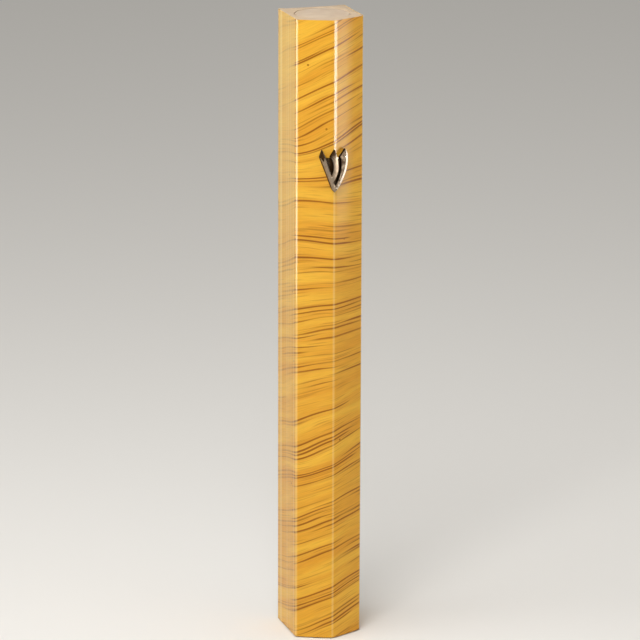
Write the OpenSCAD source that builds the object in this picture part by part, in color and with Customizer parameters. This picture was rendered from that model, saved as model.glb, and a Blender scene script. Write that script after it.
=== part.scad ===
// Mezuzah case: an extruded gabled profile wrapped in wood-grain film, with a round bore for
// the scroll, a rubber stopper in each end, a cast emblem on the ridge and a foam mounting tape.
// Millimetres. +Z runs up the case, -Y faces the room, and Y = 0 is the face that sticks to the doorpost.

/* [Case] */
// Height of the extruded profile
case_h = 180; // [177:1:220]
// Width across the two side faces, film included
case_w = 19.6; // [19:0.1:24]
// Depth of a side face, from the back to the front corner
side_d = 16.9; // [16.5:0.1:22]
// How far the ridge stands forward of the front corners
ridge_rise = 4.3; // [3:0.1:6]
// How far each front facet bows out between corner and ridge
facet_bow = 0.15; // [0:0.05:0.3]
// Rounding of the two front corners
front_corner_r = 0.9; // [0.5:0.1:1.5]
// Rounding of the two back corners
back_corner_r = 0.7; // [0.5:0.1:1.5]
// Softness of the ridge line
ridge_soft = 0.6; // [0.2:0.1:1]
// Thickness of the printed film
film_t = 0.2; // [0.15:0.05:0.3]
// How far the film wraps onto the back
film_wrap = 2; // [1:0.5:3]

/* [Bore and stoppers] */
// Diameter of the bore
bore_d = 15.6; // [15:0.1:16]
// Distance from the back of the case to the bore's axis
bore_axis_d = 10; // [9.8:0.1:10.2]
// Length of a stopper
stopper_len = 11; // [8:0.5:11]
// Radial clearance between a stopper's ribs and the bore
rib_clearance = 0.05; // [0.02:0.01:0.08]
// Depth of the root between two ribs
rib_depth = 0.6; // [0.3:0.1:0.8]
// Number of sealing ribs on a stopper
rib_count = 3; // [2:1:4]
// Rounding of the stopper's outer rim
rim_r = 0.5; // [0.3:0.1:0.8]
// How far the middle of a stopper's head stands proud
head_dome = 0.3; // [0.1:0.1:0.5]
// Diameter of the hollow in the stopper's inner end
cup_d = 9; // [7:0.5:10]
// Depth of that hollow
cup_depth = 7; // [4:0.5:7]

/* [Scroll] */
// Height of the rolled scroll
scroll_h = 150; // [140:1:150]
// Thickness of the parchment
parchment_t = 0.3; // [0.2:0.05:0.35]
// Air gap between two turns
turn_gap = 0.15; // [0.1:0.05:0.2]
// Radius of the roll's open middle
roll_inner_r = 3.2; // [2.5:0.1:3.5]
// Number of turns in the roll
roll_turns = 5.4; // [4:0.1:5.6]
// Thickness of the clear sleeve
sleeve_t = 0.15; // [0.1:0.05:0.2]
// How far the sleeve runs past each end of the scroll
sleeve_overhang = 1.5; // [0:0.5:2]

/* [Emblem] */
// Height of the emblem
emblem_h = 12.4; // [10:0.1:14]
// Thickness of the emblem, square to the facets
emblem_t = 1.5; // [1:0.1:2]
// Thickness of the sunken web between the emblem's arms
web_t = 0.5; // [0.3:0.1:0.8]
// Height of the emblem's foot above the middle of the case
emblem_foot_z = 41.6; // [20:0.1:60]
// Thickness of the adhesive pad under the emblem
pad_t = 0.25; // [0.2:0.05:0.4]
// How far the pad stays inside the emblem's outline
pad_inset = 0.15; // [0.1:0.05:0.2]

/* [Mounting tape] */
// Width of the tape
tape_w = 12; // [8:0.5:12.5]
// Length of the tape
tape_l = 150; // [100:5:165]
// Thickness of the tape
tape_t = 1; // [0.8:0.1:1.5]
// Rounding of the tape's corners
tape_corner_r = 1.5; // [0.5:0.5:3]

/* [Hidden] */

round_fn = 96;       // true circles come from this
corner_steps = 5;    // points on a rounded corner
facet_steps = 12;    // points along one facet
ridge_crowding = 1.4; // above 1 puts more of them near the ridge
arm_steps = 10;      // points along an emblem arm
turn_steps = 24;     // points on one turn of the roll
scroll_play = 0.5;   // between the bottom stopper and the sleeve
sleeve_gap = 0.15;   // between the roll and the sleeve

half_w = case_w / 2;
back_y = -(tape_t - film_t);                 // back of the film's flaps, in front of the tape's face
ridge_y = back_y - side_d - ridge_rise;
facet_angle = atan(ridge_rise / half_w);
corner_angle = atan((ridge_rise + 4 * facet_bow) / half_w);  // a bowed facet is steeper at its corner
bore_y = back_y - bore_axis_d;
top_z = case_h / 2;
scroll_bottom_z = -top_z + stopper_len + sleeve_overhang + scroll_play;
roll_pitch = parchment_t + turn_gap;
roll_outer_r = roll_inner_r + roll_turns * roll_pitch + parchment_t;

// ---- The section ------------------------------------------------------------------------------
// A distance from the middle plane that is rounded off near zero, so that the ridge is soft.
function soft(x) = sqrt(x * x + ridge_soft * ridge_soft) - ridge_soft;

// Depth of the front surface at x, for an outline set inwards by inset.
function front_y(x, inset) =
    let (share = soft(x) / soft(half_w))
    ridge_y + inset / cos(facet_angle) + ridge_rise * share - 4 * facet_bow * share * (1 - share);

// Where a facet begins, next to its rounded corner, and the points along it, closer near the ridge.
function facet_start(inset) = half_w - inset - (front_corner_r - inset) * (1 - sin(corner_angle));
function facet_xs(inset) =
    [for (i = [1 : facet_steps - 1]) facet_start(inset) * pow(1 - i / facet_steps, ridge_crowding)];

// Points on an arc of radius r about c, from angle a to angle b.
function arc(c, r, a, b, steps) =
    [for (i = [0 : steps]) let (t = a + (b - a) * i / steps) c + r * [cos(t), sin(t)]];

// The right half of the outline, from the back corner round to just short of the ridge.
function half_outline(inset) =
    let (
        w = half_w - inset,
        back_r = back_corner_r - inset,
        front_r = front_corner_r - inset,
        back = [w - back_r, back_y - inset - back_r],
        front = [w - front_r, front_y(facet_start(inset), inset) + front_r * cos(corner_angle)]
    )
    concat(
        arc(back, back_r, 90, 0, corner_steps),
        arc(front, front_r, 0, corner_angle - 90, corner_steps),
        [for (x = facet_xs(inset)) [x, front_y(x, inset)]]);

function reversed(points) = [for (i = [len(points) - 1 : -1 : 0]) points[i]];
function mirrored(points) = [for (p = reversed(points)) [-p[0], p[1]]];

function outline(inset) =
    let (right = half_outline(inset)) concat(right, [[0, front_y(0, inset)]], mirrored(right));

module along_case(h = case_h) {
    translate([0, 0, -h / 2]) linear_extrude(h) children();
}

module core_profile() {
    color("#ded2b4") along_case() difference() {
        polygon(outline(film_t));
        translate([0, bore_y]) circle(d = bore_d, $fn = round_fn);
    }
}

module wood_grain_film() {
    open_w = case_w - 2 * film_wrap;
    color("#d99a38") along_case() difference() {
        polygon(outline(0));
        polygon(outline(film_t));
        translate([-open_w / 2, back_y - 2 * film_t]) square([open_w, 4 * film_t]);
    }
}

// ---- Stoppers ---------------------------------------------------------------------------------
// Half section of a stopper that hangs down from z = 0, its head on top.
module stopper_half() {
    rib_r = bore_d / 2 - rib_clearance;
    root_r = rib_r - rib_depth;
    head_r = rib_r;
    head_t = 2;
    tip = 1;              // plain lead-in below the last rib
    rib_pitch = (stopper_len - head_t - tip) / rib_count;
    dome_r = (pow(head_r - rim_r, 2) + pow(head_dome, 2)) / (2 * head_dome);
    dome_steps = 6;
    dome = [for (i = [0 : dome_steps])
        let (x = (head_r - rim_r) * i / dome_steps)
        [x, sqrt(dome_r * dome_r - x * x) - dome_r + head_dome]];
    ribs = [for (i = [0 : rib_count - 1])
        let (z = -head_t - rib_pitch * i)
        each [[root_r, z - 0.05], [root_r, z - rib_pitch * 0.4], [rib_r, z - rib_pitch * 0.6],
              [rib_r, z - rib_pitch * 0.85]]];
    polygon(concat(
        dome,
        arc([head_r - rim_r, -rim_r], rim_r, 90, 0, corner_steps),
        [[head_r, -head_t]],
        ribs,
        [[root_r, -stopper_len + tip * 0.6], [root_r - tip, -stopper_len],
         [cup_d / 2, -stopper_len], [cup_d / 2 - 0.5, -stopper_len + cup_depth],
         [0, -stopper_len + cup_depth]]));
}

module stopper() {
    rotate_extrude($fn = round_fn) stopper_half();
}

module top_stopper() {
    color("#c9bfb6") translate([0, bore_y, top_z]) stopper();
}

module bottom_stopper() {
    color("#c9bfb6") translate([0, bore_y, -top_z]) rotate([180, 0, 0]) stopper();
}

// ---- Scroll -----------------------------------------------------------------------------------
function spiral(extra_r) = [for (i = [0 : round(roll_turns * turn_steps)])
    let (a = 360 * i / turn_steps, r = roll_inner_r + roll_pitch * i / turn_steps + extra_r)
    r * [cos(a), sin(a)]];

module scroll() {
    color("#e2d3ac") translate([0, bore_y, scroll_bottom_z]) linear_extrude(scroll_h)
        polygon(concat(spiral(0), reversed(spiral(parchment_t))));
}

module scroll_sleeve() {
    inner_r = roll_outer_r + sleeve_gap;
    h = scroll_h + 2 * sleeve_overhang;
    color([0.9, 0.93, 0.95, 0.4]) translate([0, bore_y, scroll_bottom_z - sleeve_overhang])
        linear_extrude(h) difference() {
            circle(r = inner_r + sleeve_t, $fn = round_fn);
            circle(r = inner_r, $fn = round_fn);
        }
}

// ---- Emblem -----------------------------------------------------------------------------------
// Each arm is a tapering stroke: [head, bend, foot, half width at head, half width at foot, peak].
// Heights and widths are shares of the emblem's height, measured from the tip of its foot.
ARMS = [
    [[-0.285, 0.82], [-0.16, 0.45], [-0.05, 0.10], 0.056, 0.040, [0, 0.15]],
    [[-0.055, 0.85], [0.075, 0.57], [-0.11, 0.25], 0.072, 0.042, [0.03, 0.13]],
    [[0.205, 0.84], [0.275, 0.50], [-0.005, 0.10], 0.105, 0.046, [0.045, 0.135]],
];
TIP = [-0.03, 0.012];  // where the two outer arms meet
web_top = 0.06;        // how far down the outer arms the web begins

function bend_point(a, t) = pow(1 - t, 2) * a[0] + 2 * t * (1 - t) * a[1] + t * t * a[2];
function bend_dir(a, t) = let (d = (1 - t) * (a[1] - a[0]) + t * (a[2] - a[1])) d / norm(d);
function arm_edge(a, side, t, inset) =
    let (d = bend_dir(a, t), w = a[3] + (a[4] - a[3]) * t - inset)
    bend_point(a, t) + side * w * [-d[1], d[0]];
function arm_side(a, side, inset) = [for (i = [0 : arm_steps]) arm_edge(a, side, i / arm_steps, inset)];

module arm(a, inset) {
    peak = a[0] + a[5] - [0, inset];
    polygon(concat([peak], arm_side(a, -1, inset), reversed(arm_side(a, 1, inset))));
}

// The point that the two outer arms run down to.
module foot(inset) {
    left = arm_edge(ARMS[0], -1, 1, inset);
    right = arm_edge(ARMS[2], 1, 1, inset);
    polygon([TIP + [0, inset * 2], right, [TIP[0], 0.2 - inset], left]);
}

module letter(inset) {
    scale(emblem_h) {
        for (a = ARMS) arm(a, inset / emblem_h);
        foot(inset / emblem_h);
    }
}

// The area between the middles of the two outer arms.
module web() {
    shares = [for (i = [0 : arm_steps]) web_top + (1 - web_top) * i / arm_steps];
    scale(emblem_h) polygon(concat(
        [for (t = shares) bend_point(ARMS[0], t)],
        reversed([for (t = shares) bend_point(ARMS[2], t)])));
}

// The layer between two heights above the facets, long enough for the emblem. It has the film's
// own points, so that its faces lie on the film's.
module facet_layer(low, high) {
    right = concat([facet_start(0)], facet_xs(0));
    xs = concat([for (x = right) -x], [0], reversed(right));
    translate([0, 0, emblem_foot_z - 1]) linear_extrude(emblem_h + 2) polygon(concat(
        [for (x = xs) [x, front_y(x, -low)]],
        [for (x = reversed(xs)) [x, front_y(x, -high)]]));
}

// A flat outline laid over the ridge, between two heights above the film.
module on_facets(low, high) {
    intersection() {
        facet_layer(low, high);
        translate([0, back_y, emblem_foot_z]) rotate([90, 0, 0]) linear_extrude(40) children();
    }
}

module emblem() {
    color("#8c8884") union() {
        on_facets(pad_t, pad_t + emblem_t) letter(0);
        on_facets(pad_t, pad_t + web_t) web();
    }
}

module emblem_pad() {
    color("#e8e8e4") on_facets(0, pad_t) letter(pad_inset);
}

// ---- Mounting tape ----------------------------------------------------------------------------
module mounting_tape() {
    flat = [tape_w - 2 * tape_corner_r, tape_l - 2 * tape_corner_r];
    color("#f2f2ee") rotate([90, 0, 0]) linear_extrude(tape_t) union() {
        square([flat[0], tape_l], center = true);
        square([tape_w, flat[1]], center = true);
        for (x = [-1, 1], z = [-1, 1])
            translate([x * flat[0] / 2, z * flat[1] / 2]) circle(r = tape_corner_r, $fn = round_fn);
    }
}

core_profile();
wood_grain_film();
top_stopper();
bottom_stopper();
scroll();
scroll_sleeve();
emblem();
emblem_pad();
mounting_tape();
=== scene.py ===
"""A mezuzah case, 180 mm tall: a gabled plastic extrusion wrapped in wood-grain film, with a rubber
stopper in each end, a cast letter on the ridge, foam tape on the back and a rolled scroll inside.
It is built in metres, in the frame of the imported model: +Z up the case, -Y towards the room."""

import math

import bmesh
import bpy
from mathutils import Matrix, Vector, geometry


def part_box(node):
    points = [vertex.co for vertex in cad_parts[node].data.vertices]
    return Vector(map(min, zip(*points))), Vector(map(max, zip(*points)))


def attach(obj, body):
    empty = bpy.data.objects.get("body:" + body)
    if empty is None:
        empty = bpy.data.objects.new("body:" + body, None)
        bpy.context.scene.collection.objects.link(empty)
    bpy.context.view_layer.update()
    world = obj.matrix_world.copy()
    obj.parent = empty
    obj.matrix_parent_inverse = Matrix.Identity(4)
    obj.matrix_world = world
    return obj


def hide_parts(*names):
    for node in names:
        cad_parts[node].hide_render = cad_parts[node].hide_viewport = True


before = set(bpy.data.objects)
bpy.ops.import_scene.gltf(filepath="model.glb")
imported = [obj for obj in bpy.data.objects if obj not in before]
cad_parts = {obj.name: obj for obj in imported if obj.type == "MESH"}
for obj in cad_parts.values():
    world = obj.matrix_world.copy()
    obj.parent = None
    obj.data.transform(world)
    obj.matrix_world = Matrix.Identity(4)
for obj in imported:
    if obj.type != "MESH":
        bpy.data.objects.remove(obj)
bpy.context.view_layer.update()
MM = 0.001

# ---- Sizes, from the frame where it has them ----------------------------------------------------
FILM_LOW, FILM_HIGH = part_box("wood_grain_film")
HALF_W, BACK_Y, RIDGE_Y = FILM_HIGH.x, FILM_HIGH.y, FILM_LOW.y
BOTTOM_Z, TOP_Z = FILM_LOW.z, FILM_HIGH.z
FILM_T = HALF_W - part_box("core_profile")[1].x
SIDE_D = 16.9 * MM  # of a side face, from the back to the front corner
RIDGE_RISE = BACK_Y - RIDGE_Y - SIDE_D
RIDGE_SOFT = 0.6 * MM
FACET_BOW = 0.15 * MM
FRONT_R, BACK_R = 0.9 * MM, 0.7 * MM
FILM_WRAP = 2 * MM
SINK = 0.03 * MM  # how far a side face sinks in at its middle, as extruded walls do
FACET_ANGLE = math.atan(RIDGE_RISE / HALF_W)
CORNER_ANGLE = math.atan((RIDGE_RISE + 4 * FACET_BOW) / HALF_W)

SLEEVE_LOW, SLEEVE_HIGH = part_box("scroll_sleeve")
BORE_Y = (SLEEVE_LOW.y + SLEEVE_HIGH.y) / 2
BORE_R = 7.8 * MM
FACET_X = HALF_W - FRONT_R * (1 - math.sin(CORNER_ANGLE))  # where a facet meets its rounded corner
# From the ridge to the middle of a front corner, measured round the section.
CORNER_AROUND = FACET_X / math.cos(FACET_ANGLE) + FRONT_R * (math.pi / 2 - CORNER_ANGLE) / 2


def soft(x):
    """Distance from the middle plane, rounded off near zero so that the ridge is soft."""
    return math.hypot(x, RIDGE_SOFT) - RIDGE_SOFT


def front_y(x, inset=0.0):
    """Depth of the front surface at x. A negative inset is a height above the film."""
    share = soft(x) / soft(HALF_W)
    rise = RIDGE_RISE * share - 4 * FACET_BOW * share * (1 - share)
    return RIDGE_Y + inset / math.cos(FACET_ANGLE) + rise


def arc(centre, radius, start, end, steps):
    """Points on an arc, with its angles in radians."""
    angles = [start + (end - start) * i / steps for i in range(steps + 1)]
    return [(centre[0] + radius * math.cos(t), centre[1] + radius * math.sin(t)) for t in angles]


def half_section(inset):
    """The right half of the outline, from its back corner round to the ridge."""
    width = HALF_W - inset
    back_r, front_r = BACK_R - inset, FRONT_R - inset
    facet_x = width - front_r * (1 - math.sin(CORNER_ANGLE))
    corner_y = front_y(facet_x, inset) + front_r * math.cos(CORNER_ANGLE)
    side_top, side_steps, facet_steps = BACK_Y - inset - back_r, 14, 40
    side = []
    for i in range(1, side_steps):
        t = i / side_steps
        side.append((width - 4 * SINK * t * (1 - t), side_top + (corner_y - side_top) * t))
    crowding = 1.5  # above 1 puts more points near the ridge
    facet = [facet_x * (1 - i / facet_steps) ** crowding for i in range(1, facet_steps + 1)]
    return (
        arc((width - back_r, side_top), back_r, math.pi / 2, 0, 6)
        + side
        + arc((width - front_r, corner_y), front_r, 0, CORNER_ANGLE - math.pi / 2, 10)
        + [(x, front_y(x, inset)) for x in facet]
    )


# ---- Small helpers ------------------------------------------------------------------------------
def linear(hex_colour):
    """An sRGB hex colour as the linear RGBA that the shaders take."""
    parts = [int(hex_colour[i : i + 2], 16) / 255 for i in (1, 3, 5)]
    return tuple(c / 12.92 if c <= 0.04045 else ((c + 0.055) / 1.055) ** 2.4 for c in parts) + (1.0,)


def add(tree, kind, inputs=(), **settings):
    """Adds a node. inputs maps a socket's name or number to a value or to the output that feeds it."""
    node = tree.nodes.new(kind)
    for key, value in settings.items():
        setattr(node, key, value)
    for key, value in dict(inputs).items():
        if isinstance(value, bpy.types.NodeSocket):
            tree.links.new(value, node.inputs[key])
        else:
            node.inputs[key].default_value = value
    return node


def link(obj):
    """Puts an object in the scene."""
    bpy.context.scene.collection.objects.link(obj)
    return obj


def mesh_object(name, points, faces, material=None, smooth=True):
    mesh = bpy.data.meshes.new(name)
    mesh.from_pydata(points, [], faces)
    if material:
        mesh.materials.append(material)
    mesh.polygons.foreach_set("use_smooth", [smooth] * len(mesh.polygons))
    return link(bpy.data.objects.new(name, mesh))


def baked(obj):
    """The object with its modifiers applied, as a plain mesh."""
    graph = bpy.context.evaluated_depsgraph_get()
    finished = obj.evaluated_get(graph)
    mesh = bpy.data.meshes.new_from_object(finished, preserve_all_data_layers=True, depsgraph=graph)
    mesh.name = obj.name
    obj.modifiers.clear()
    obj.data = mesh
    return obj


def finish_piece(obj, body, slot, *nodes):
    """Says which body a piece rides on and which nodes it replaces. slot is not used."""
    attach(obj, body)
    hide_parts(*nodes)
    return obj


def sharpen(obj, degrees=35):
    """Smooth faces, with the edges sharper than that kept crisp."""
    shaped = bmesh.new()
    shaped.from_mesh(obj.data)
    bmesh.ops.remove_doubles(shaped, verts=shaped.verts, dist=1e-7)
    bmesh.ops.recalc_face_normals(shaped, faces=shaped.faces)
    for edge in shaped.edges:
        edge.smooth = len(edge.link_faces) == 2 and edge.calc_face_angle() < math.radians(degrees)
    for face in shaped.faces:
        face.smooth = True
    shaped.to_mesh(obj.data)
    shaped.free()
    return obj


def lathe(name, profile, steps, material, upside_down=False):
    """Turns a closed half section of (radius, height) points about the bore's axis."""
    points, rings, faces = [], [], []
    for radius, height in profile:
        if radius < 1e-9:
            rings.append([len(points)] * steps)
            points.append((0, BORE_Y, height))
            continue
        rings.append(list(range(len(points), len(points) + steps)))
        for i in range(steps):
            t = 2 * math.pi * i / steps
            points.append((radius * math.cos(t), BORE_Y + radius * math.sin(t), height))
    for low, high in zip(rings, rings[1:] + rings[:1]):
        for i in range(steps):
            j = (i + 1) % steps
            corners = list(dict.fromkeys((low[i], low[j], high[j], high[i])))
            if len(corners) > 2:
                faces.append(corners)
    if upside_down:
        points = [(x, 2 * BORE_Y - y, -z) for x, y, z in points]
    return sharpen(mesh_object(name, points, faces, material))


# ---- Materials ----------------------------------------------------------------------------------
def new_material(name, **principled):
    """A Principled material with its constant sockets set. Returns it, its tree and its shader."""
    material = bpy.data.materials.new(name)
    material.use_nodes = True
    shader = material.node_tree.nodes["Principled BSDF"]
    for key, value in principled.items():
        shader.inputs[key.replace("_", " ")].default_value = value
    return material, material.node_tree, shader


def smooth_step(tree, value, low, high, out_low=0.0, out_high=1.0):
    """Eases from out_low, where the value is at low, to out_high, where it is at high."""
    node = add(tree, "ShaderNodeMapRange", {0: value, 1: low, 2: high, 3: out_low, 4: out_high},
               interpolation_type="SMOOTHSTEP")
    return node.outputs[0]


def maths(tree, operation, a, b=0.0, c=0.0):
    return add(tree, "ShaderNodeMath", {0: a, 1: b, 2: c}, operation=operation).outputs[0]


def mixed(tree, share, first, second, how="MIX"):
    """The first colour where share is 0, running to the second where it is 1."""
    node = add(tree, "ShaderNodeMix", {0: share, 6: first, 7: second}, data_type="RGBA", blend_type=how)
    return node.outputs[2]


def clouds(tree, place, size, detail):
    """Smooth noise in space, with features about size across."""
    return add(tree, "ShaderNodeTexNoise", {"Vector": place, "Scale": 1 / size, "Detail": detail}).outputs[0]


def bands(tree, distance, size, detail):
    """Smooth noise along one distance, with features about size across."""
    at = {"W": maths(tree, "DIVIDE", distance, size), "Scale": 1, "Detail": detail}
    return add(tree, "ShaderNodeTexNoise", at, noise_dimensions="1D").outputs[0]


def relief(tree, shader, height, depth, strength=1.0):
    """Shades a height from 0 to 1 as relief of that depth."""
    bump = add(tree, "ShaderNodeBump", {"Strength": strength, "Distance": depth, "Height": height}).outputs[0]
    tree.links.new(bump, shader.inputs["Normal"])
    return bump


def wood_grain_print():
    """Printed PVC film under a gloss lacquer: a golden, olive-like grain in clusters of fine brown
    lines. The lacquer gives it hard, bright reflections, drawn out along the extrusion."""
    material, tree, shader = new_material(
        "printed_pvc_film_gloss_lacquer", Roughness=0.4, IOR=1.5, Specular_IOR_Level=0.05, Coat_Weight=0.6,
        Coat_Roughness=0.035, Coat_IOR=1.38
    )
    place = add(tree, "ShaderNodeUVMap", uv_map="unrolled").outputs[0]
    mm = add(tree, "ShaderNodeVectorMath", {0: place, "Scale": 1 / MM}, operation="SCALE").outputs[0]
    split = add(tree, "ShaderNodeSeparateXYZ", {0: mm})
    around, up = split.outputs[0], split.outputs[1]

    # The grain climbs to the right, most steeply left of the ridge. On the facets this changes with
    # the height: a full climb in the lower half, level behind the letter, steepest above it.
    # Every length here is in mm.
    facet_reach = 11  # from the ridge round to a front corner
    side_start, side_full = 11.5, 13
    on_facets = maths(tree, "MAXIMUM", around, -facet_reach)
    rise = maths(tree, "TANH", maths(tree, "MULTIPLY_ADD", on_facets, 1 / 7, 5 / 7))
    climb = maths(tree, "MULTIPLY_ADD", rise, 1.75, maths(tree, "MULTIPLY_ADD", on_facets, 0.2, -1.07))
    steepness = 1.0
    changes = ((-30, -4, -0.6), (8, 26, -0.45), (36, 60, 1.4), (76, 92, -0.35))  # between two heights
    for low, high, change in changes:
        steepness = maths(tree, "ADD", smooth_step(tree, up, low, high, 0, change), steepness)
    side_climb = maths(tree, "MULTIPLY", maths(tree, "SUBTRACT", around, on_facets), 0.28)
    climb = maths(tree, "MULTIPLY_ADD", climb, steepness, side_climb)
    wave_size = {0: mm, 1: (1 / 30, 1 / 15, 0)}
    wave_at = add(tree, "ShaderNodeVectorMath", wave_size, operation="MULTIPLY").outputs[0]
    smooth = {"Vector": wave_at, "Scale": 1, "Detail": 1}
    wave = add(tree, "ShaderNodeTexNoise", smooth, noise_dimensions="2D").outputs[0]
    waviness = 2.6
    drift = maths(tree, "MULTIPLY_ADD", wave, waviness, climb)
    across = maths(tree, "SUBTRACT", up, drift)  # distance across the grain

    def streaks(along_mm, across_mm, detail=2.0, seed=0.0):
        """Noise drawn out along the grain."""
        x = maths(tree, "DIVIDE", around, along_mm)
        y = maths(tree, "DIVIDE", across, across_mm)
        at = add(tree, "ShaderNodeCombineXYZ", {0: x, 1: y, 2: seed}).outputs[0]
        found = add(tree, "ShaderNodeTexNoise", {"Vector": at, "Scale": 1, "Detail": detail})
        return found.outputs[0]

    def lines(spacing, width, along_mm, low, high, seed):
        """Fine lines at irregular spacings that fade in and out along their length. The noise that
        fades them hides them below low and shows them in full above high."""
        shift = maths(tree, "MULTIPLY_ADD", across, 1 / spacing, seed)
        cells = add(tree, "ShaderNodeTexVoronoi", {"W": shift, "Scale": 1}, voronoi_dimensions="1D",
                    feature="DISTANCE_TO_EDGE")
        off = maths(tree, "MULTIPLY", cells.outputs["Distance"], spacing)
        strength = smooth_step(tree, streaks(along_mm, spacing * 0.9, 1.0, seed), low, high)
        edge = maths(tree, "MULTIPLY_ADD", strength, width * 0.6, width * 0.4)
        body = maths(tree, "DIVIDE", off, edge)
        return maths(tree, "MULTIPLY", smooth_step(tree, body, 1.0, 0.25), strength)

    crowding = maths(tree, "ADD", streaks(70, 4.2, 1.0, 3.1), smooth_step(tree, up, 50, 0, 0, 0.035))
    crowd = smooth_step(tree, crowding, 0.47, 0.57)
    long_lines = lines(spacing=1.15, width=0.38, along_mm=22, low=0.42, high=0.55, seed=7.7)
    short_lines = lines(spacing=0.8, width=0.26, along_mm=12, low=0.52, high=0.68, seed=21.3)
    bold = maths(tree, "MULTIPLY", long_lines, crowd)
    fine = maths(tree, "MULTIPLY", short_lines, 0.35)
    marks = maths(tree, "MAXIMUM", bold, fine)
    marks = maths(tree, "MULTIPLY", marks, smooth_step(tree, around, -15, -10.5, 0.45, 1.0))
    knot_spacing = 24
    scattered = {"Vector": mm, "Scale": 1 / knot_spacing}
    knots = add(tree, "ShaderNodeTexVoronoi", scattered, voronoi_dimensions="2D")
    knot = smooth_step(tree, knots.outputs["Distance"], 0.016, 0.009, 0, 0.8)
    marks = maths(tree, "MAXIMUM", marks, knot)

    broad = smooth_step(tree, streaks(34, 5.2, 1.0, 11.0), 0.35, 0.65)
    honey = mixed(tree, broad, linear("#DFA12E"), linear("#E7B038"))
    toned = mixed(tree, maths(tree, "MULTIPLY", crowd, 0.4), honey, linear("#D48D20"))
    fibre = smooth_step(tree, streaks(5, 0.35, 2.0, 5.0), 0.3, 0.7, 0.94, 1.05)
    printed = mixed(tree, 1.0, toned, fibre, "MULTIPLY")
    veined = mixed(tree, maths(tree, "MULTIPLY", marks, 0.95), printed, linear("#8C4C00"))

    # Painted highlights: the film is painted paler in thin lines along the ridge and the front
    # corners, in upright streaks on the sides as a painted reflection, and over the sides more
    # towards the top as painted light.
    out = maths(tree, "ABSOLUTE", around)
    ridge_highlight = maths(tree, "MULTIPLY", smooth_step(tree, out, 0.45, 0.1), 0.75)
    off_corner = maths(tree, "ABSOLUTE", maths(tree, "SUBTRACT", out, CORNER_AROUND / MM))
    edge_highlight = maths(tree, "MAXIMUM", ridge_highlight, smooth_step(tree, off_corner, 0.6, 0.15))
    side = smooth_step(tree, out, side_start, side_full)
    # Upright pale streaks on the sides: a painted reflection.
    drawn = maths(tree, "MULTIPLY", smooth_step(tree, bands(tree, around, 2.6, 1), 0.45, 0.62), side)
    side_painted_light = maths(tree, "MULTIPLY", side, smooth_step(tree, up, -30, 60, 0.02, 0.28))
    side_painted_sheen = maths(tree, "MULTIPLY_ADD", drawn, 0.34, side_painted_light)
    painted_highlight = maths(tree, "MAXIMUM", maths(tree, "MULTIPLY", edge_highlight, 0.3), side_painted_sheen)
    # The painted highlights laid over the printed colour.
    colour = mixed(tree, painted_highlight, veined, linear("#F6E09C"))
    tree.links.new(colour, shader.inputs["Base Color"])

    # Die lines of the extrusion under the film: shallow waves across it, straight along it.
    bump = relief(tree, shader, bands(tree, around, 1.6, 2), 0.012 * MM)
    tree.links.new(bump, shader.inputs["Coat Normal"])
    return material


def cream_pvc():
    """Rigid cream PVC, extruded and then cut with a fine circular saw. The cut ends are dull and
    keep the faint arcs of the blade, and the extruded faces have fine lines along their length."""
    material, tree, shader = new_material("rigid_pvc_extruded_saw_cut", Roughness=0.5, IOR=1.53)
    place = add(tree, "ShaderNodeTexCoord").outputs["Object"]
    off_saw_axis = (0.07, 0.03, 0)  # how far the saw's axis stood off the middle of the case
    from_blade = add(tree, "ShaderNodeMapping", {0: place, 1: off_saw_axis}).outputs[0]
    flat = add(tree, "ShaderNodeVectorMath", {0: from_blade, 1: (1, 1, 0)}, operation="MULTIPLY").outputs[0]
    reach = add(tree, "ShaderNodeVectorMath", {0: flat}, operation="LENGTH").outputs["Value"]
    kerf = bands(tree, reach, 0.22 * MM, 2)
    mottle = smooth_step(tree, clouds(tree, place, 3 * MM, 4), 0.3, 0.7)
    colour = mixed(tree, mottle, linear("#B8A083"), linear("#C2AB8E"))
    tree.links.new(colour, shader.inputs["Base Color"])
    rough = maths(tree, "MULTIPLY_ADD", kerf, 0.2, 0.42)
    tree.links.new(rough, shader.inputs["Roughness"])
    relief(tree, shader, kerf, 0.02 * MM)
    return material


def milky_silicone():
    """Silicone rubber, compression moulded: milky and a little translucent, with a dull bloom."""
    material, tree, shader = new_material(
        "silicone_rubber_moulded_milky", Roughness=0.48, IOR=1.42, Subsurface_Weight=0.35,
        Subsurface_Scale=2 * MM
    )
    shader.inputs["Subsurface Radius"].default_value = (1.0, 0.8, 0.6)
    place = add(tree, "ShaderNodeTexCoord").outputs["Object"]
    bloom = smooth_step(tree, clouds(tree, place, 4 * MM, 3), 0.3, 0.7)
    colour = mixed(tree, bloom, linear("#BAA48C"), linear("#C4B099"))
    tree.links.new(colour, shader.inputs["Base Color"])
    relief(tree, shader, clouds(tree, place, 0.25 * MM, 2), 0.006 * MM)
    return material


def parchment():
    """Scraped and limed parchment: cream, faintly mottled, with a velvety face and fine follicles."""
    material, tree, shader = new_material("parchment_scraped", Roughness=0.62, IOR=1.48, Sheen_Weight=0.15)
    place = add(tree, "ShaderNodeTexCoord").outputs["Object"]
    mottle = smooth_step(tree, clouds(tree, place, 9 * MM, 5), 0.32, 0.68)
    colour = mixed(tree, mottle, linear("#DCC5A0"), linear("#ECDABC"))
    tree.links.new(colour, shader.inputs["Base Color"])
    pores = add(tree, "ShaderNodeTexVoronoi", {"Vector": place, "Scale": 1 / (0.5 * MM)}).outputs["Distance"]
    relief(tree, shader, pores, 0.01 * MM)
    return material


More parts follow.
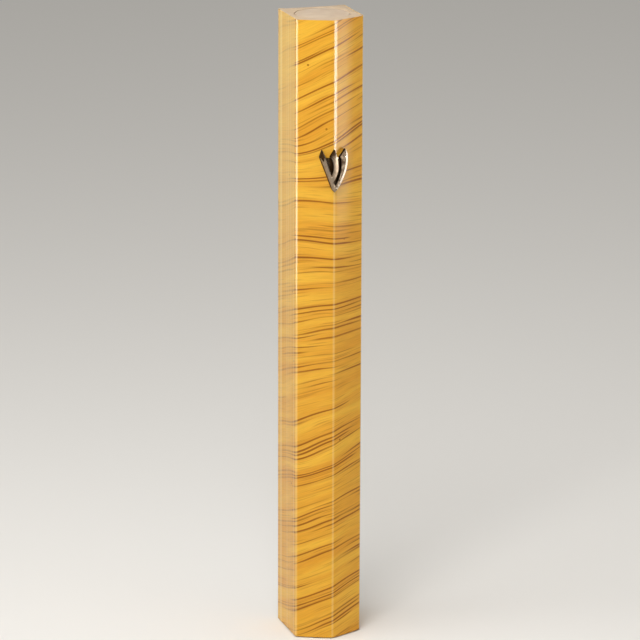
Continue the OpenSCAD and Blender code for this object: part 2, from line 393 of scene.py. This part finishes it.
def clear_sleeve():
    """Clear polypropylene film, cast and rolled into a tube: glassy, with faint lengthways haze."""
    material, tree, shader = new_material(
        "polypropylene_film_clear", Roughness=0.08, IOR=1.49, Transmission_Weight=1.0,
        Base_Color=linear("#F6F8F8")
    )
    place = add(tree, "ShaderNodeTexCoord").outputs["Object"]
    streak = (1 / (1.5 * MM), 1 / (1.5 * MM), 1 / (40 * MM))
    drawn = add(tree, "ShaderNodeMapping", {0: place, 3: streak}).outputs[0]
    haze = clouds(tree, drawn, 1, 2)
    tree.links.new(smooth_step(tree, haze, 0.3, 0.8, 0.08, 0.2), shader.inputs["Roughness"])
    return material


def antique_silver():
    """Cast zinc alloy, plated in silver, blackened and then rubbed back: bright on the raised faces
    and edges, nearly black in the recesses, with the soft pitting of a small casting. Each face
    carries its own wear, from 0 where the black is whole to 1 where it is all rubbed off; the same
    value also paints a highlight on the right-hand chamfers and shade on the web and the left head's cut."""
    material, tree, shader = new_material("zinc_alloy_cast_antique_silver", Metallic=1.0, Roughness=0.34)
    place = add(tree, "ShaderNodeTexCoord").outputs["Object"]
    wear_and_light = add(tree, "ShaderNodeAttribute", attribute_name="wear_and_light").outputs["Fac"]
    stain = maths(tree, "MULTIPLY_ADD", clouds(tree, place, 1.1 * MM, 3), 0.7, -0.35)
    rubbed_and_lit = maths(tree, "ADD", stain, wear_and_light)
    # The dark colour is the blackening and, on the web and the left head's cut, painted shade; the bright one
    # is rubbed silver and, on the right-hand chamfers, painted highlight.
    cleared = mixed(tree, smooth_step(tree, rubbed_and_lit, 0.1, 0.5), linear("#281A0B"), linear("#746656"))
    polished = mixed(tree, smooth_step(tree, rubbed_and_lit, 0.55, 1.0), cleared, linear("#EADBC6"))
    tree.links.new(polished, shader.inputs["Base Color"])
    tree.links.new(smooth_step(tree, rubbed_and_lit, 0.1, 0.9, 0.68, 0.26), shader.inputs["Roughness"])
    relief(tree, shader, clouds(tree, place, 0.45 * MM, 3), 0.05 * MM)
    return material


def closed_cell_foam(name, light, dark, cell_mm):
    """Closed-cell foam, skived from a block: matt, with tiny burst cells where it was cut, each painted
    darker towards its hollow middle as painted shade.
    """
    material, tree, shader = new_material(name, Roughness=0.8, IOR=1.45)
    place = add(tree, "ShaderNodeTexCoord").outputs["Object"]
    cell_scale = {"Vector": place, "Scale": 1 / (cell_mm * MM)}
    cells = add(tree, "ShaderNodeTexVoronoi", cell_scale).outputs["Distance"]
    # Painted shade: darker in the hollow of each cell.
    colour = mixed(tree, smooth_step(tree, cells, 0.1, 0.7), linear(dark), linear(light))
    tree.links.new(colour, shader.inputs["Base Color"])
    relief(tree, shader, cells, 0.05 * MM, strength=0.7)
    return material


def floor_paint():
    """Matt pale paint, with no shine at all."""
    pale = linear("#E9E6E1")
    return new_material("matt_pale_paint", Roughness=0.9, Specular_IOR_Level=0.0, Base_Color=pale)[0]


# ---- Film and core: one section, swept up the case by geometry nodes ------------------------------
def section_mesh(name, outline, closed):
    """The section as a chain of edges in the plane z = 0. Each point keeps its distance round the
    section from the ridge, positive to the right."""
    mesh = bpy.data.meshes.new(name)
    edges = [(i, i + 1) for i in range(len(outline) - 1)]
    if closed:
        edges.append((len(outline) - 1, 0))
    mesh.from_pydata([(x, y, 0) for x, y in outline], edges, [])
    around = [0.0]
    for a, b in zip(outline, outline[1:]):
        around.append(around[-1] + math.dist(a, b))
    middle = min(range(len(outline)), key=lambda i: outline[i][1])
    stored = mesh.attributes.new("around", "FLOAT", "POINT")
    stored.data.foreach_set("value", [around[middle] - d for d in around])
    return link(bpy.data.objects.new(name, mesh))


def new_tree(name, *sockets):
    """A geometry node tree with the given named inputs, as (name, kind, value) each."""
    tree = bpy.data.node_groups.new(name, "GeometryNodeTree")
    tree.interface.new_socket("Geometry", in_out="INPUT", socket_type="NodeSocketGeometry")
    for label, kind, _ in sockets:
        tree.interface.new_socket(label, in_out="INPUT", socket_type="NodeSocket" + kind)
    tree.interface.new_socket("Geometry", in_out="OUTPUT", socket_type="NodeSocketGeometry")
    return tree, add(tree, "NodeGroupInput")


def run_tree(obj, tree, result, sockets, material):
    """Ends a tree in Realize Instances and Set Material, and puts it on the object with its inputs."""
    real = add(tree, "GeometryNodeRealizeInstances", {0: result}).outputs[0]
    painted = add(tree, "GeometryNodeSetMaterial", {0: real, "Material": material}).outputs[0]
    add(tree, "NodeGroupOutput", {0: painted})
    modifier = obj.modifiers.new(tree.name, "NODES")
    modifier.node_group = tree
    values = {label: value for label, _, value in sockets}
    for item in tree.interface.items_tree:
        if item.in_out == "INPUT" and item.name in values:
            modifier[item.identifier] = values[item.name]


def film_piece(material):
    """The printed film: round the sides and the front, with a flap turned onto the back each side."""
    right = half_section(0.0)
    flap = (HALF_W - FILM_WRAP, BACK_Y)
    half = [flap] + right
    outline = half + [(-x, y) for x, y in reversed(half[:-1])]
    obj = section_mesh("wood_grain_film_wrap", outline, closed=False)
    sockets = (("Bottom", "Float", BOTTOM_Z), ("Top", "Float", TOP_Z))
    tree, given = new_tree("sweep_film_up_the_case", *sockets)
    start = add(tree, "ShaderNodeCombineXYZ", {2: given.outputs["Bottom"]}).outputs[0]
    end = add(tree, "ShaderNodeCombineXYZ", {2: given.outputs["Top"]}).outputs[0]
    path = add(tree, "GeometryNodeCurvePrimitiveLine", {"Start": start, "End": end}).outputs[0]
    path = add(tree, "GeometryNodeResampleCurve", {"Curve": path, "Count": 13}).outputs[0]
    profile = add(tree, "GeometryNodeMeshToCurve", {0: given.outputs["Geometry"]}).outputs[0]
    sheet = add(tree, "GeometryNodeCurveToMesh", {"Curve": path, "Profile Curve": profile}).outputs[0]
    around = add(tree, "GeometryNodeInputNamedAttribute", {"Name": "around"}, data_type="FLOAT").outputs[0]
    position = add(tree, "GeometryNodeInputPosition").outputs[0]
    height = add(tree, "ShaderNodeSeparateXYZ", {0: position}).outputs[2]
    place = add(tree, "ShaderNodeCombineXYZ", {0: around, 1: height}).outputs[0]
    stored = add(tree, "GeometryNodeStoreNamedAttribute", {0: sheet, "Name": "unrolled", "Value": place},
                 data_type="FLOAT2", domain="CORNER").outputs[0]
    run_tree(obj, tree, stored, sockets, material)
    baked(obj)
    flat = bmesh.new()
    flat.from_mesh(obj.data)
    side = max(flat.faces, key=lambda f: f.calc_center_median().x)
    if side.normal.x < 0:
        bmesh.ops.reverse_faces(flat, faces=flat.faces)
    flat.to_mesh(obj.data)
    flat.free()
    shell = obj.modifiers.new("film_thickness", "SOLIDIFY")
    shell.thickness, shell.offset, shell.use_even_offset = FILM_T, -1, True
    baked(obj)
    return finish_piece(sharpen(obj, 50), "case", "wood_grain_film", "wood_grain_film")


def core_piece(material):
    """The plastic extrusion with its bore, its saw-cut ends just broken at the edges."""
    gap = 0.01 * MM  # keeps it clear of the film's inner face
    right = half_section(FILM_T + gap)
    outline = right + [(-x, y) for x, y in reversed(right[:-1])]
    obj = section_mesh("core_extrusion", outline, closed=True)
    sockets = (("Bottom", "Float", BOTTOM_Z), ("Height", "Float", TOP_Z - BOTTOM_Z),
               ("Bore radius", "Float", BORE_R), ("Bore depth", "Float", BORE_Y))
    tree, given = new_tree("extrude_core_round_its_bore", *sockets)
    outer = add(tree, "GeometryNodeMeshToCurve", {0: given.outputs["Geometry"]}).outputs[0]
    round_bore = {"Resolution": 128, "Radius": given.outputs["Bore radius"]}
    ring = add(tree, "GeometryNodeCurvePrimitiveCircle", round_bore)
    shift = add(tree, "ShaderNodeCombineXYZ", {1: given.outputs["Bore depth"]}).outputs[0]
    bore = add(tree, "GeometryNodeTransform", {0: ring.outputs[0], "Translation": shift}).outputs[0]
    both = add(tree, "GeometryNodeJoinGeometry").inputs[0]
    tree.links.new(outer, both)
    tree.links.new(bore, both)
    face = add(tree, "GeometryNodeFillCurve", {0: both.node.outputs[0]}, mode="NGONS").outputs[0]
    low = add(tree, "ShaderNodeCombineXYZ", {2: given.outputs["Bottom"]}).outputs[0]
    base = add(tree, "GeometryNodeTransform", {0: face, "Translation": low}).outputs[0]
    upwards = {0: base, "Offset": (0, 0, 1), "Offset Scale": given.outputs["Height"], "Individual": False}
    rise = add(tree, "GeometryNodeExtrudeMesh", upwards).outputs[0]
    under = add(tree, "GeometryNodeFlipFaces", {0: base}).outputs[0]
    shut = add(tree, "GeometryNodeJoinGeometry").inputs[0]
    tree.links.new(rise, shut)
    tree.links.new(under, shut)
    whole = add(tree, "GeometryNodeMergeByDistance", {0: shut.node.outputs[0], "Distance": 1e-6}).outputs[0]
    run_tree(obj, tree, whole, sockets, material)
    edge = obj.modifiers.new("broken_edges", "BEVEL")
    edge.width, edge.segments = 0.12 * MM, 2
    edge.limit_method, edge.angle_limit = "ANGLE", math.radians(50)
    return finish_piece(sharpen(baked(obj), 30), "case", "core_profile", "core_profile")


# ---- Stoppers -----------------------------------------------------------------------------------
STOPPER_LEN, HEAD_T, RIB_COUNT = 11 * MM, 2 * MM, 3
RIB_R = BORE_R - 0.05 * MM
ROOT_R = RIB_R - 0.6 * MM
RIM_R, DOME = 0.5 * MM, 0.3 * MM
CUP_R, CUP_DEPTH = 4.5 * MM, 7 * MM


def stopper_profile():
    """Half section of a stopper, from the middle of its head down round its ribs and into its cup."""
    dome_reach = RIB_R - RIM_R
    dome_r = (dome_reach**2 + DOME**2) / (2 * DOME)
    points = [(0, DOME)]
    for i in range(1, 11):
        x = dome_reach * i / 10
        points.append((x, math.sqrt(dome_r**2 - x**2) - dome_r + DOME))
    points += arc((dome_reach, -RIM_R), RIM_R, math.pi / 2, 0, 8)
    points.append((RIB_R, -HEAD_T + 0.2 * MM))
    points.append((RIB_R - 0.15 * MM, -HEAD_T))
    plain_end, root_fillet, rib_r = 1 * MM, 0.25 * MM, 0.45 * MM
    pitch = (STOPPER_LEN - HEAD_T - plain_end) / RIB_COUNT
    half_rib = math.pi * 0.42
    for i in range(RIB_COUNT):
        top = -HEAD_T - pitch * i
        points += arc((ROOT_R + root_fillet, top - 0.35 * MM), root_fillet, math.pi / 2, math.pi, 4)
        points.append((ROOT_R, top - pitch * 0.42))
        points += arc((RIB_R - rib_r, top - pitch * 0.7), rib_r, half_rib, -half_rib, 8)
    low, end_r, lip_r = -STOPPER_LEN, 0.6 * MM, 0.3 * MM
    points += arc((ROOT_R - end_r, low + end_r), end_r, 0, -math.pi / 2, 6)
    points += arc((CUP_R + lip_r, low + lip_r), lip_r, -math.pi / 2, -math.pi, 5)
    floor, taper, floor_r = low + CUP_DEPTH, 0.5 * MM, 0.8 * MM
    points += arc((CUP_R - taper - floor_r, floor - floor_r), floor_r, 0, math.pi / 2, 6)
    points.append((0, floor))
    return points


def stopper_pieces(material):
    profile = [(r, TOP_Z + z) for r, z in stopper_profile()]
    for name, upside_down in (("top_stopper", False), ("bottom_stopper", True)):
        obj = lathe(name + "_ribbed", profile, 128, material, upside_down)
        finish_piece(obj, name, "stopper", name)


# ---- Scroll and its sleeve ------------------------------------------------------------------------
SHEET_T, TURN_GAP, ROLL_TURNS, ROLL_INNER_R = 0.3 * MM, 0.15 * MM, 5.4, 3.2 * MM
SLEEVE_T = 0.15 * MM


def scroll_piece(material):
    """A parchment sheet rolled into an open spiral."""
    low, high = (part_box("scroll")[i].z for i in (0, 1))
    obj = link(bpy.data.objects.new("scroll_rolled", bpy.data.meshes.new("scroll_rolled")))
    pitch = SHEET_T + TURN_GAP
    middle_r = ROLL_INNER_R + SHEET_T / 2
    sockets = (("Turns", "Float", ROLL_TURNS), ("Inner radius", "Float", middle_r),
               ("Outer radius", "Float", middle_r + pitch * ROLL_TURNS),
               ("Sheet height", "Float", high - low), ("Sheet thickness", "Float", SHEET_T))
    tree, given = new_tree("roll_parchment", *sockets)
    spiral = add(tree, "GeometryNodeCurveSpiral", {"Resolution": 48, "Rotations": given.outputs["Turns"],
                 "Start Radius": given.outputs["Inner radius"], "End Radius": given.outputs["Outer radius"],
                 "Height": 0.0}).outputs[0]
    cut_sheet = {"Width": given.outputs["Sheet thickness"], "Height": given.outputs["Sheet height"]}
    wall = add(tree, "GeometryNodeCurvePrimitiveQuadrilateral", cut_sheet, mode="RECTANGLE").outputs[0]
    sheet = add(tree, "GeometryNodeCurveToMesh", {"Curve": spiral, "Profile Curve": wall, "Fill Caps": True})
    middle = (0, BORE_Y, (low + high) / 2)
    placed = add(tree, "GeometryNodeTransform", {0: sheet.outputs[0], "Translation": middle}).outputs[0]
    run_tree(obj, tree, placed, sockets, material)
    return finish_piece(sharpen(baked(obj), 40), "scroll", "scroll", "scroll")


def sleeve_piece(material):
    """The clear tube round the scroll, open at both ends."""
    outer = SLEEVE_HIGH.x
    inner = outer - SLEEVE_T
    low, high = SLEEVE_LOW.z, SLEEVE_HIGH.z
    profile = [(inner, low), (outer, low), (outer, high), (inner, high)]
    tube = lathe("scroll_sleeve_tube", profile, 96, material)
    return finish_piece(tube, "scroll", "scroll_sleeve", "scroll_sleeve")


# ---- Emblem -------------------------------------------------------------------------------------
EMBLEM_H, EMBLEM_T, PAD_T = 12.4 * MM, 1.5 * MM, 0.25 * MM
EMBLEM_FOOT = 41.6 * MM
WEB_T, PAD_INSET = 0.5 * MM, 0.15 * MM
PAD_CLEARANCE = 0.01 * MM  # keeps the pad off the film
CHAMFER = 0.4 * MM  # height of the chamfer round the top
HEAD_CUT = 0.35 * MM  # depth of the slanting cut at the head of each arm
CREASE = 17  # in degrees: edges sharper than this stay crisp
# Each arm is [head, bend, foot, half width at head, half width at foot, peak], in shares of EMBLEM_H.
ARMS = [
    [(-0.285, 0.82), (-0.16, 0.45), (-0.05, 0.10), 0.056, 0.040, (0, 0.15)],
    [(-0.055, 0.85), (0.075, 0.57), (-0.11, 0.25), 0.072, 0.042, (0.03, 0.13)],
    [(0.205, 0.84), (0.275, 0.50), (-0.005, 0.10), 0.105, 0.046, (0.045, 0.135)],
]
TIP = Vector((-0.03, 0.012))
ARM_STEPS = 24  # along each edge of an arm
WEB_TOP = 0.06  # how far down the outer arms the web begins
# How far the chamfer reaches in from the left edges, and from the right edge of each arm.
LEFT_REACH = 0.008
RIGHT_REACH = [0.026, 0.024, 0.065]
# How far each face is rubbed bright, for each arm where there are three. Besides wear, these paint a
# highlight on the right-hand chamfers and shade on the web and the left head's cut.
# The slanting cuts are blackened like the recesses; the left one is made darker still as painted shade.
CUT_WEAR_AND_SHADE = [-0.25, 0.24, 0.26]
# The web is kept dark as painted shade in the gaps between the arms.
WEB_PAINTED_SHADE = 0.12
RECESS_WEAR = 0.0
TOP_WEAR = [0.5, 0.5, 0.5, 0.27]  # the foot, then the arms
LEFT_EDGE_WEAR = 0.6
# The right-hand chamfers are made lighter than the left ones as a painted highlight, besides their wear.
RIGHT_EDGE_WEAR_AND_HIGHLIGHT = [1.0, 0.55, 1.0]


def arm_point(arm, t, side=0.0, inset=0.0):
    """A point a share t of the way down an arm and a share side of the way out to its edge."""
    head, bend, foot = (Vector(p) for p in arm[:3])
    at = head * (1 - t) ** 2 + bend * 2 * t * (1 - t) + foot * t * t
    way = ((bend - head) * (1 - t) + (foot - bend) * t).normalized()
    return at + Vector((-way.y, way.x)) * side * (arm[3] + (arm[4] - arm[3]) * t - inset)


def arm_peak(arm, inset):
    return Vector(arm[0]) + Vector(arm[5]) - Vector((0, inset * 1.5))


def outline_edges(faces):
    """The edges that only one face uses, pointing the way that face turns."""
    used = set()
    for face in faces:
        for a, b in zip(face, list(face[1:]) + [face[0]]):
            if (b, a) in used:
                used.remove((b, a))
            else:
                used.add((a, b))
    return used


def joined(polygons):
    """The outline round some overlapping polygons: its points and its edges."""
    points, faces = [], []
    for polygon in polygons:
        faces.append(list(range(len(points), len(points) + len(polygon))))
        points += polygon
    points, _, faces, *_ = geometry.delaunay_2d_cdt(points, [], faces, 1, 1e-5)
    rim = outline_edges(faces)
    loop = sorted({p for edge in rim for p in edge})
    number = {p: i for i, p in enumerate(loop)}
    return [points[p] for p in loop], [(number[a], number[b]) for a, b in rim]


def letter_polygons(left, rights):
    """The letter's arms and foot, set in by left from left edges and by rights from right edges."""
    steps = [i / ARM_STEPS for i in range(ARM_STEPS + 1)]
    low_left, low_right = arm_point(ARMS[0], 1, -1, left), arm_point(ARMS[2], 1, 1, rights[2])
    inset = max(left, rights[0])
    polygons = [[TIP + Vector((0, inset * 2)), low_right, Vector((TIP.x, 0.2 - inset)), low_left]]
    for arm, right in zip(ARMS, rights):
        down = [arm_point(arm, t, -1, left) for t in steps]
        up = [arm_point(arm, t, 1, right) for t in reversed(steps)]
        polygons.append([arm_peak(arm, inset)] + down + up)
    return polygons


def web_outline():
    """The outline of the sunken web, between the middles of the outer arms. The web is a dark sheet of
    painted shade for the gaps.
    """
    steps = [WEB_TOP + (1 - WEB_TOP) * i / ARM_STEPS for i in range(ARM_STEPS + 1)]
    down = [arm_point(ARMS[0], t) for t in steps]
    return joined([down + [arm_point(ARMS[2], t) for t in reversed(steps)]])


def laid_on_ridge(name, outline, high, material, low=PAD_T, folds=None, wear_and_light_of=None, drop_of=None):
    """A solid over the ridge, between two heights above the film. folds are more points and edges
    on its top. drop_of(point, on_rim) lowers a point there, and wear_and_light_of(middle) is a face's
    wear, with any painted highlight or shade."""
    points, edges = outline
    if folds:
        edges = edges + [(a + len(points), b + len(points)) for a, b in folds[1]]
        points = points + folds[0]
    step = 0.3 * MM / EMBLEM_H  # of the grid that lets the solid follow the ridge
    xs, zs = [p.x for p in points], [p.y for p in points]
    points = list(points)
    for i in range(int(min(xs) / step), int(max(xs) / step) + 1):
        for j in range(int(min(zs) / step), int(max(zs) / step) + 1):
            at = Vector((step * (i + 0.5 * (j % 2)), step * j))
            if wear_and_light_of is None or wear_and_light_of(at) < LEFT_EDGE_WEAR:
                points.append(at)
    flat, _, tops, *_ = geometry.delaunay_2d_cdt(points, edges, [], 1, 1e-5)
    rim = outline_edges(tops)
    on_rim = {p for edge in rim for p in edge}
    used = sorted({p for f in tops for p in f})
    number = {p: i for i, p in enumerate(used)}
    solid = []
    for level in (0, 1):
        for p in used:
            height = high if level else low
            if level and drop_of:
                height -= drop_of(flat[p], p in on_rim)
            x = flat[p].x * EMBLEM_H
            solid.append((x, front_y(x, -height), EMBLEM_FOOT + flat[p].y * EMBLEM_H))
    count = len(used)
    faces, wears_and_light = [], []
    for f in tops:
        corners = [number[p] for p in f]
        faces += [[c + count for c in corners], corners[::-1]]
        middle = sum((flat[p] for p in f), Vector((0, 0))) / 3
        wears_and_light += [wear_and_light_of(middle) if wear_and_light_of else RECESS_WEAR, RECESS_WEAR]
    for a, b in rim:
        faces.append([number[a], number[b], number[b] + count, number[a] + count])
        wears_and_light.append(RECESS_WEAR)
    obj = mesh_object(name, solid, faces, material)
    # Each face's wear, with its painted highlight or shade, kept on its corners.
    stored = obj.data.attributes.new("wear_and_light", "FLOAT", "CORNER")
    stored.data.foreach_set("value", [w for w, f in zip(wears_and_light, faces) for _ in f])
    return sharpen(obj, CREASE)


def within(point, polygon):
    """Whether a point lies inside a polygon."""
    crossed = False
    for a, b in zip(polygon, polygon[1:] + polygon[:1]):
        if (a.y > point.y) != (b.y > point.y):
            if point.x < a.x + (b.x - a.x) * (point.y - a.y) / (b.y - a.y):
                crossed = not crossed
    return crossed


def emblem_letter(metal):
    """The letter, chamfered most on its right-hand edges, with a dark slanting cut on each head. Its
    right-hand chamfers carry a painted highlight and the left head's cut painted shade.
    """
    flat_tops = letter_polygons(LEFT_REACH, RIGHT_REACH)
    points, edges = joined(flat_tops)
    cuts = []
    for arm in ARMS:
        cut = [arm_peak(arm, 0.0), arm_point(arm, 0, -1)]
        cut += [arm_point(arm, 0.14, -0.35), arm_point(arm, 0.03, 0.5)]
        cuts.append(cut)
        edges += [(len(points) + i, len(points) + (i + 1) % 4) for i in range(4)]
        points += cut

    def drop_of(point, on_rim):
        if on_rim:
            return CHAMFER
        for cut in cuts:
            if within(point, cut):
                foot = Vector(geometry.intersect_point_line(point, cut[2], cut[3])[0][:2])
                whole = Vector(geometry.intersect_point_line(cut[0], cut[2], cut[3])[0][:2])
                return HEAD_CUT * min(1.0, (point - foot).length / (cut[0] - whole).length)
        return 0.0

    # A face's wear, with the painted highlight of the right-hand chamfers and the painted shade of the left
    # head's cut.
    def wear_and_light_of(point):
        for cut, wear_and_light in zip(cuts, CUT_WEAR_AND_SHADE):
            if within(point, cut):
                return wear_and_light
        for polygon, wear_and_light in zip(flat_tops, TOP_WEAR):
            if within(point, polygon):
                return wear_and_light
        reach, index, k = min(((point - arm_point(arm, k / 12)).length / arm[3], index, k)
                              for index, arm in enumerate(ARMS) for k in range(13))
        on_right = point.x > arm_point(ARMS[index], k / 12).x
        return RIGHT_EDGE_WEAR_AND_HIGHLIGHT[index] if on_right else LEFT_EDGE_WEAR

    outline = joined(letter_polygons(0.0, [0.0] * 3))
    obj = laid_on_ridge("emblem_cast_letter", outline, PAD_T + EMBLEM_T, metal, folds=(points, edges),
                        wear_and_light_of=wear_and_light_of, drop_of=drop_of)
    return finish_piece(obj, "case", "emblem", "emblem")


def emblem_pieces(metal, foam):
    emblem_letter(metal)
    # A dark web fills the gaps between the arms as painted shade.
    web = laid_on_ridge("emblem_web_painted_shade", web_outline(), PAD_T + WEB_T, metal, wear_and_light_of=lambda point: WEB_PAINTED_SHADE)
    finish_piece(web, "case", "emblem", "emblem")
    inset = PAD_INSET / EMBLEM_H
    outline = joined(letter_polygons(inset, [inset] * 3))
    pad = laid_on_ridge("emblem_pad_foam", outline, PAD_T, foam, low=PAD_CLEARANCE)
    finish_piece(pad, "case", "emblem_pad", "emblem_pad")


# ---- Mounting tape --------------------------------------------------------------------------------
def tape_piece(material):
    """Double-sided foam tape: foam that bulges a little between its two adhesive faces."""
    low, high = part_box("mounting_tape")
    half_x, half_z, corner = high.x, high.z, 1.5 * MM
    # Each layer is its share of the thickness and how far it is drawn in, in mm.
    layers = [(0.0, 0.08), (0.04, 0.03), (0.2, 0.05), (0.5, 0.0), (0.8, 0.05), (0.96, 0.03), (1.0, 0.08)]
    points, faces, rings = [], [], []
    for share, inset in layers:
        ring = []
        for quarter, (sx, sz) in enumerate(((1, 1), (-1, 1), (-1, -1), (1, -1))):
            centre = (sx * (half_x - corner), sz * (half_z - corner))
            turn = quarter * math.pi / 2
            ring += arc(centre, corner - inset * MM, turn, turn + math.pi / 2, 8)
        y = high.y + (low.y - high.y) * share
        rings.append(list(range(len(points), len(points) + len(ring))))
        points += [(x, y, z) for x, z in ring]
    for near, far in zip(rings, rings[1:]):
        for i in range(len(near)):
            j = (i + 1) % len(near)
            faces.append((near[i], near[j], far[j], far[i]))
    faces += [tuple(reversed(rings[0])), tuple(rings[-1])]
    obj = sharpen(mesh_object("mounting_tape_foam", points, faces, material), 50)
    return finish_piece(obj, "case", "mounting_tape", "mounting_tape")


# ---- Stage --------------------------------------------------------------------------------------
def camera():
    """A long lens from a little above and to the left, as for a catalogue."""
    azimuth, elevation, roll = (math.radians(d) for d in (-18.442, 15.393, 0.2))
    back = Vector((math.sin(azimuth) * math.cos(elevation), -math.cos(azimuth) * math.cos(elevation),
                   math.sin(elevation)))
    right = Vector((math.cos(azimuth), math.sin(azimuth), 0))
    up = back.cross(right)
    turned_right = right * math.cos(roll) + up * math.sin(roll)
    turned_up = up * math.cos(roll) - right * math.sin(roll)
    data = bpy.data.cameras.new("camera")
    data.sensor_width, data.lens = 36, 217.8
    obj = link(bpy.data.objects.new("camera", data))
    distance, shift_right, shift_down = 1.1078, 0.00282, 0.00094
    aim = Vector((0, BACK_Y, 0)) + turned_right * shift_right - turned_up * shift_down
    turn = Matrix((turned_right, turned_up, back)).transposed().to_4x4()
    obj.matrix_world = Matrix.Translation(aim + back * distance) @ turn
    bpy.context.scene.camera = obj


def area_light(name, at, size, power, colour="#FFFFFF", towards=(0, 0, 0)):
    data = bpy.data.lights.new(name, "AREA")
    data.shape, data.size, data.size_y = "RECTANGLE", size[0], size[1]
    data.energy, data.color = power, linear(colour)[:3]
    obj = link(bpy.data.objects.new(name, data))
    obj.location = at
    obj.rotation_euler = (Vector(towards) - Vector(at)).to_track_quat("-Z", "Y").to_euler()
    obj.visible_camera = False
    return obj


def gloss_panel(name, start, end, low, high, radiance, soft=0.2):
    """An upright panel 300 mm from the case, from one azimuth to another in degrees, that lights
    nothing and is only seen in the gloss. Azimuth 0 is in front, and negative is to the left.
    Its light fades out over soft, a share of its size, at each edge."""
    reach = 0.3
    middle, half = math.radians((start + end) / 2), math.radians(abs(end - start) / 2)
    away = Vector((math.sin(middle), -math.cos(middle), 0))
    width, height = 2 * reach * math.tan(half), high - low
    at = away * reach + Vector((0, BORE_Y, (low + high) / 2))
    panel = area_light(name, at, (width, height), radiance * math.pi * width * height, towards=at - away)
    panel.visible_diffuse = False
    panel.visible_shadow = False
    panel.data.use_nodes = True
    tree = panel.data.node_tree
    across_panel = add(tree, "ShaderNodeNewGeometry").outputs["Parametric"]
    split = add(tree, "ShaderNodeSeparateXYZ", {0: across_panel})
    fade = 1.0
    for part in split.outputs[:2]:
        off_middle = maths(tree, "ABSOLUTE", maths(tree, "SUBTRACT", part, 0.5))
        fade = maths(tree, "MULTIPLY", smooth_step(tree, off_middle, 0.5, 0.5 - soft), fade)
    tree.links.new(fade, tree.nodes["Emission"].inputs["Strength"])


def stage():
    floor_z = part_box("bottom_stopper")[0].z
    size = 4.0
    floor = mesh_object("floor", [(-size, -size, floor_z), (size, -size, floor_z), (size, size, floor_z),
                        (-size, size, floor_z)], [(0, 1, 2, 3)], floor_paint(), smooth=False)
    world = bpy.data.worlds.new("studio")
    world.use_nodes = True
    world.node_tree.nodes["Background"].inputs[0].default_value = linear("#F4F3F0")
    world.node_tree.nodes["Background"].inputs[1].default_value = 0.42
    bpy.context.scene.world = world
    bpy.context.scene.view_settings.view_transform = "Standard"
    area_light("key", (-0.24, -0.37, 0.46), (0.3, 0.3), 2.45)
    area_light("left_wash", (-0.24, -0.05, 0.4), (0.2, 0.2), 0.56)
    area_light("fill", (0.9, -0.8, 0.5), (0.8, 0.8), 0.3)
    area_light("top", (0, -0.1, 1.2), (0.7, 0.7), 2.5)
    gloss_panel("left_front_corner", -52, -134, -0.076, 0.09, 12, soft=0.08)
    gloss_panel("ridge", 6, 54, -0.022, 0.09, 26, soft=0.1)
    gloss_panel("beside_ridge", 46, 70, -0.060, 0.10, 5, soft=0.3)
    gloss_panel("right_rim", 88, 132, -0.13, 0.06, 1.2)


# ---- Build --------------------------------------------------------------------------------------
camera()
stage()
film_piece(wood_grain_print())
core_piece(cream_pvc())
stopper_pieces(milky_silicone())
scroll_piece(parchment())
sleeve_piece(clear_sleeve())
emblem_pieces(antique_silver(), closed_cell_foam("acrylic_foam_pad", "#D8D8D4", "#B8B8B4", 0.1))
tape_piece(closed_cell_foam("polyethylene_foam_tape", "#F0F0EC", "#D2D2CC", 0.25))
